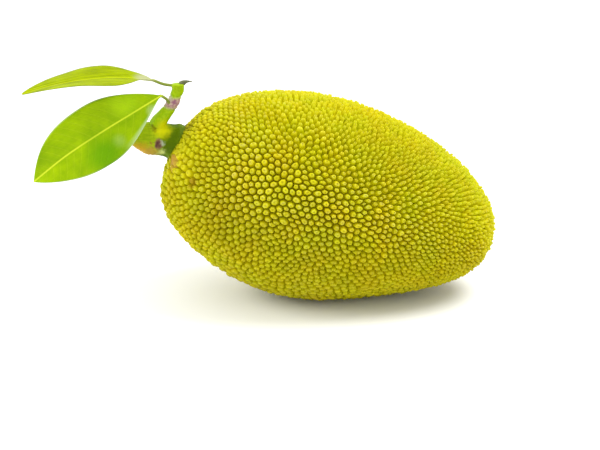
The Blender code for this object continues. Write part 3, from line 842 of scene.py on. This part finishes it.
def leaf_finish(name, dark, light, vein, vein_share, streak_share, margin_colour, gloss, sheen, spots):
    """Fresh leaf: leathery green skin, half-glossy or dull, with paler veins, midrib, margin and underside.

    Reads each point's blade measures: X across from the midrib and Y along from the base, in metres, and
    Z from 0 at the midrib to 1 at the margin.
    """
    made, tree, shader, place = new_finish(name)
    measures = add_node(tree, "ShaderNodeAttribute", attribute_name="blade").outputs["Vector"]
    blade = add_node(tree, "ShaderNodeSeparateXYZ", {0: measures}).outputs
    # A mottle of 26 mm, with streaks 70 mm long and 2 mm wide beside the midrib
    mottle = add_node(tree, "ShaderNodeTexNoise", {"Vector": place, "Scale": 38.0, "Detail": 4.0})
    green = add_node(tree, "ShaderNodeValToRGB", {"Fac": mottle.outputs["Fac"]}, stops=(
        (0.32, dark), (0.68, light)))
    lengthwise = add_node(tree, "ShaderNodeMapping", {"Vector": measures, "Scale": (520.0, 14.0, 0.0)})
    streaks = add_node(tree, "ShaderNodeTexNoise", {
        "Vector": lengthwise.outputs["Vector"], "Scale": 1.0, "Detail": 2.0})
    streak_light = add_node(tree, "ShaderNodeMapRange", {
        "Value": streaks.outputs["Fac"], "From Min": 0.35, "From Max": 0.65,
        "To Min": 1.0 - streak_share, "To Max": 1.0 + streak_share})
    streaked = add_node(tree, "ShaderNodeVectorMath", {
        0: green.outputs["Color"], "Scale": streak_light.outputs["Result"]}, operation="SCALE")
    underside = add_node(tree, "ShaderNodeAttribute", attribute_name="underside").outputs["Fac"]
    paler = add_node(tree, "ShaderNodeMath", {
        0: underside, 1: UNDERSIDE_PALENESS}, operation="MULTIPLY").outputs[0]
    # Side veins: straight runs forward from the midrib, one every VEIN_SPACING, bent forward at the margin
    aside = add_node(tree, "ShaderNodeMath", {0: blade["X"]}, operation="ABSOLUTE").outputs[0]
    bend = add_node(tree, "ShaderNodeMath", {0: aside, 1: 9.0, 2: 0.55}, operation="MULTIPLY_ADD").outputs[0]
    forward = add_node(tree, "ShaderNodeMath", {0: aside, 1: bend}, operation="MULTIPLY").outputs[0]
    back_along = add_node(tree, "ShaderNodeMath", {
        0: blade["Y"], 1: forward}, operation="SUBTRACT").outputs[0]
    side = add_node(tree, "ShaderNodeMath", {0: blade["X"], 1: 0.0}, operation="GREATER_THAN").outputs[0]
    staggered = add_node(tree, "ShaderNodeMath", {
        0: side, 1: VEIN_SPACING * VEIN_STAGGER, 2: back_along}, operation="MULTIPLY_ADD").outputs[0]
    turn = add_node(tree, "ShaderNodeMath", {
        0: staggered, 1: VEIN_SPACING / 2}, operation="PINGPONG").outputs[0]
    # Where each mark starts and ends, and how much of it shows there
    side_vein, midrib, margin, by_margin, by_base, on_petiole = (
        add_node(tree, "ShaderNodeMapRange", {
            "Value": measure, "From Min": start, "From Max": end, "To Min": at_start, "To Max": at_end},
            interpolation_type=fading).outputs["Result"]
        for measure, start, end, at_start, at_end, fading in (
            (turn, 0.0002, 0.0011, 1.0, 0.0, "SMOOTHSTEP"),
            (aside, 0.0005, 0.0012, 1.0, 0.0, "SMOOTHSTEP"),
            (blade["Z"], 0.955, 0.995, 0.0, 0.7, "LINEAR"),
            (blade["Z"], 0.78, 0.96, 0.0, 1.0, "LINEAR"),
            (blade["Y"], 0.035, 0.070, sheen, 0.0, "SMOOTHSTEP"),
            (blade["Y"], -0.003, 0.002, 1.0, 0.0, "LINEAR")))
    faint = add_node(tree, "ShaderNodeMath", {0: side_vein, 1: vein_share}, operation="MULTIPLY").outputs[0]
    veins = add_node(tree, "ShaderNodeMath", {0: faint, 1: midrib}, operation="MAXIMUM").outputs[0]
    # Painted sheen: a pale band along one margin by the base, where the blade turns over
    one_side = add_node(tree, "ShaderNodeMath", {0: by_margin, 1: side}, operation="MULTIPLY").outputs[0]
    margin_sheen = add_node(tree, "ShaderNodeMath", {0: one_side, 1: by_base}, operation="MULTIPLY").outputs[0]
    colour = streaked.outputs["Vector"]
    for share, laid_over in (
            (paler, "#b4c482"), (veins, vein), (margin, margin_colour), (margin_sheen, "#b9d3a0"),
            (on_petiole, "#7d8a3a")):
        colour = add_node(tree, "ShaderNodeMix", {
            "Factor": share, "A": colour, "B": linear(laid_over)}, data_type="RGBA").outputs["Result"]
    # Raised side veins, and a net of small veins 2 mm wide between them
    net = add_node(tree, "ShaderNodeTexVoronoi", {
        "Vector": place, "Scale": 520.0}, feature="DISTANCE_TO_EDGE")
    low = add_node(tree, "ShaderNodeMath", {
        0: side_vein, 1: -1.0, 2: net.outputs["Distance"]}, operation="MULTIPLY_ADD").outputs[0]
    relief = add_node(tree, "ShaderNodeBump", {"Height": low, "Strength": 0.35, "Distance": 0.0006})
    feed(tree, shader, {
        "Base Color": add_spots(tree, place, colour, spots), "Normal": relief.outputs["Normal"],
        "Roughness": 0.36, "Specular IOR Level": gloss})
    return made


# The mature leaf's pale margin is partly its own pale rim and partly painted reflection.
mature_leaf = leaf_finish(
    "mature_leaf", dark="#789c00", light="#9ab800", vein="#c4d42c", vein_share=0.10, streak_share=0.03,
    margin_colour="#c2d2a4", gloss=0.06, sheen=0.70, spots=(
        ((-0.2290, -0.026, 0.2370), 0.006, 0.024, "#a8cc12", 0.60),
        # Painted reflection: a glossy whitish patch on the lower half
        ((-0.2330, -0.032, 0.1940), 0.001, 0.012, "#bcd47c", 0.42),
        ((-0.2490, -0.038, 0.1790), 0.006, 0.032, "#569000", 0.80),
        # Painted sheen: a pale spot by the base
        ((-0.1960, -0.024, 0.2250), 0.001, 0.010, "#c6d8a8", 0.55)))
young_leaf = leaf_finish(
    "young_leaf", dark="#7e8e00", light="#94a400", vein="#b4be08", vein_share=0.12, streak_share=0.28,
    margin_colour="#7f8c1c", gloss=0.01, sheen=0.0, spots=(
        # Painted sheen: a greyish spot at the base
        ((-0.2040, -0.013, 0.2625), 0.004, 0.016, "#aeb08a", 0.80),))
lower_leaf = leaf_blade(
    "leaf_mature",
    petiole=((-0.1780, -0.007, 0.2285), (-0.1812, -0.014, 0.2362), (-0.1868, -0.020, 0.2418)),
    midrib=(
        (-0.1868, -0.020, 0.2418), (-0.2197, -0.028, 0.2236), (-0.2524, -0.033, 0.2047),
        (-0.2923, -0.036, 0.1791), (-0.3293, -0.037, 0.1501)),
    across=(0.53, -0.20, -0.85), widest=0.035, base_slimness=(0.85, 1.15), cup=0.16,
    ripple=(2.3, 0.0013), finish=mature_leaf)
upper_leaf = leaf_blade(
    "leaf_young",
    petiole=((-0.1725, -0.006, 0.2496), (-0.1845, -0.008, 0.2520), (-0.1956, -0.010, 0.2570)),
    midrib=(
        (-0.1956, -0.010, 0.2570), (-0.2135, -0.016, 0.2604), (-0.2304, -0.022, 0.2628),
        (-0.2504, -0.028, 0.2638), (-0.2766, -0.036, 0.2632), (-0.3052, -0.043, 0.2592),
        (-0.3340, -0.048, 0.2520)),
    across=(-0.15, -0.98, -0.08), widest=0.034, base_slimness=(0.85, 1.60), cup=0.18,
    ripple=(1.9, 0.0009), finish=young_leaf)
for leaf, node in ((lower_leaf, "lower_leaf"), (upper_leaf, "upper_leaf")):
    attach(leaf, "root")
    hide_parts(node)


# ---------------------------------------------------------------------------------------- Studio
# A seamless pale floor with light from all round, as in a white tent, and a soft round lamp on each side.

FLOOR_SIZE = 14.0
LAMPS_AIM_AT = Vector((0.0, 0.0, 0.1))

bpy.ops.mesh.primitive_plane_add(size=FLOOR_SIZE)
floor = bpy.context.object
floor.name = "studio_floor"
paper, tree, shader, _ = new_finish("white_paper")
feed(tree, shader, {"Base Color": linear("#fbfbfa"), "Roughness": 0.9})
floor.data.materials.append(paper)

world = bpy.data.worlds.new("white_tent")
bpy.context.scene.world = world
world.use_nodes = True
feed(world.node_tree, world.node_tree.nodes["Background"], {"Color": linear("#ffffff"), "Strength": 1.0})

for name, spot, size, power in (
        ("soft_box_right", (0.9, 0.0, 1.6), 1.2, 24.5),
        ("soft_box_left", (-1.5, -0.2, 1.0), 1.0, 15.0)):
    lamp = bpy.data.lights.new(name, "AREA")
    lamp.shape = "DISK"
    lamp.size = size
    lamp.energy = power
    light = bpy.data.objects.new(name, lamp)
    light.location = spot
    light.rotation_euler = (LAMPS_AIM_AT - Vector(spot)).to_track_quat("-Z", "Y").to_euler()
    bpy.context.scene.collection.objects.link(light)

bpy.context.scene.view_settings.view_transform = "Standard"


# ---------------------------------------------------------------------------------------- Camera
# A portrait lens a little above the fruit, nearly square to its long side.

CAMERA_TURN = math.radians(-4.0)
CAMERA_RISE = math.radians(18.0)
CAMERA_DISTANCE = 1.65
CAMERA_LENS = 86.1          # millimetres
AIM_LEFT = 0.0345           # how far left of the fruit's middle and below it the camera looks
AIM_BELOW = 0.0270
level_way = Vector((math.cos(CAMERA_TURN), math.sin(CAMERA_TURN), 0.0))
back_way = Vector((
    math.sin(CAMERA_TURN) * math.cos(CAMERA_RISE),
    -math.cos(CAMERA_TURN) * math.cos(CAMERA_RISE),
    math.sin(CAMERA_RISE)))
up_way = back_way.cross(level_way)
middle = Vector(CENTRE)
camera = bpy.data.objects.new("camera", bpy.data.cameras.new("camera"))
camera.data.lens = CAMERA_LENS
camera.location = middle + CAMERA_DISTANCE * back_way
looked_at = middle - AIM_LEFT * level_way - AIM_BELOW * up_way
camera.rotation_euler = (looked_at - camera.location).to_track_quat("-Z", "Y").to_euler()
bpy.context.scene.collection.objects.link(camera)
bpy.context.scene.camera = camera
